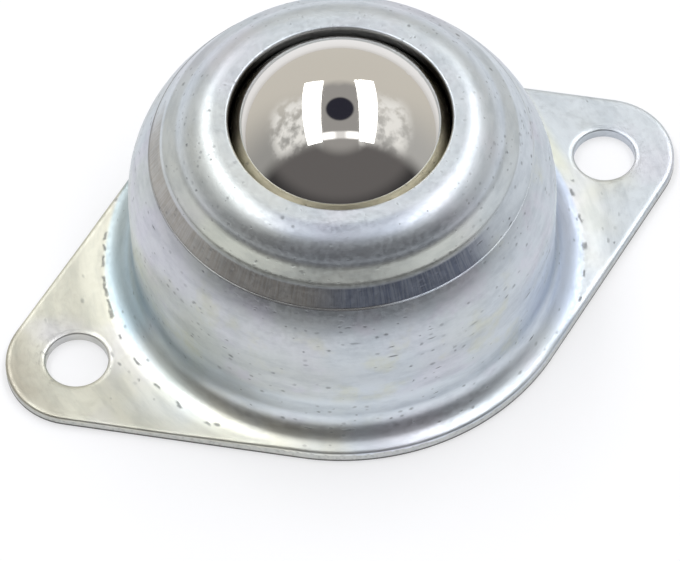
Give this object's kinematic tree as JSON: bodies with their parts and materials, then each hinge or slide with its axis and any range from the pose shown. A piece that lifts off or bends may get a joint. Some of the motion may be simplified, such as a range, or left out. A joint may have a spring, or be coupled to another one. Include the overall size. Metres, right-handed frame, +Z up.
{
  "type": "ball transfer unit",
  "caption": "Ball castor: a polished steel ball rolls any way in a stepped, zinc-plated steel dome with a flat diamond flange for screws, under furniture or on a transfer table.",
  "frame": {"origin": "middle of the flange's underside, on the mounting plane, under the ball's centre", "axes": "+X through the middle of a screw hole, +Z up from the mounting plane to the ball, +Y across the flange"},
  "size_m": [0.0746, 0.0484, 0.0304],
  "materials": {
    "zinc_plate": "bright zinc plate on drawn steel sheet, satin, with fine pits and draw marks",
    "hardened_steel": "hardened and tumbled, dark satin",
    "polished_steel": "mirror-polished bearing steel",
    "ground_steel": "ground bearing steel, bright"
  },
  "bodies": {
    "housing": {"housing": "zinc_plate", "ball_cup": "hardened_steel"},
    "ball_bed": {"support_balls_row_1": "ground_steel", "support_balls_row_2": "ground_steel", "support_balls_row_3": "ground_steel", "support_balls_row_4": "ground_steel", "support_balls_row_5": "ground_steel", "support_balls_row_6": "ground_steel", "support_balls_row_7": "ground_steel"},
    "load_ball": {"load_ball": "polished_steel"}
  },
  "joints": [
    {"name": "bed_orbit", "type": "hinge", "parent": "housing", "child": "ball_bed", "pos_m": [0, 0, 0.01767], "axis": [0, 0, 1], "continuous": true},
    {"name": "ball_roll", "type": "hinge", "parent": "ball_bed", "child": "load_ball", "pos_m": [0, 0, 0.01767], "axis": [1, 0, 0], "continuous": true}
  ]
}
